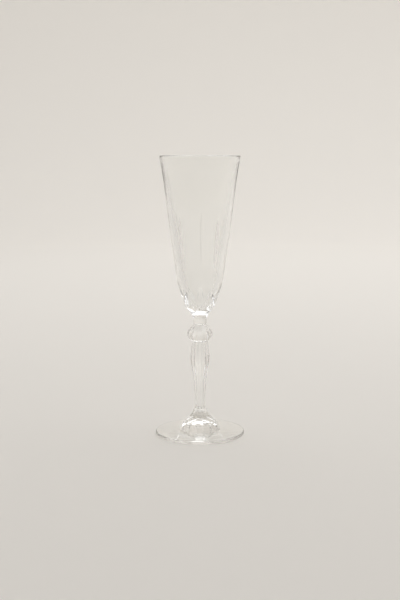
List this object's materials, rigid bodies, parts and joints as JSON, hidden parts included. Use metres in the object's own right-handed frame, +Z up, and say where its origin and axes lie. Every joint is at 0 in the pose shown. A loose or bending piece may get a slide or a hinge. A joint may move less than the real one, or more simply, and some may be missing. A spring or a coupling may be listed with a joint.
{
  "type": "champagne flute",
  "caption": "Tall tapered crystal champagne flute with a cut bowl, faceted knop, swelling stem with flats and a round foot.",
  "frame": {"origin": "centre of the foot's underside, on the surface that the flute stands on", "axes": "+Z up along the glass from foot to rim, -Y towards the front, where a wide panel of the bowl faces, +X to the right of someone looking at the front"},
  "size_m": [0.0706, 0.0706, 0.22],
  "materials": {
    "crystal": "clear polished crystal"
  },
  "bodies": {
    "root": {"bowl": "crystal", "collar": "crystal", "knop": "crystal", "stem": "crystal", "foot_boss": "crystal", "foot": "crystal"}
  },
  "joints": []
}
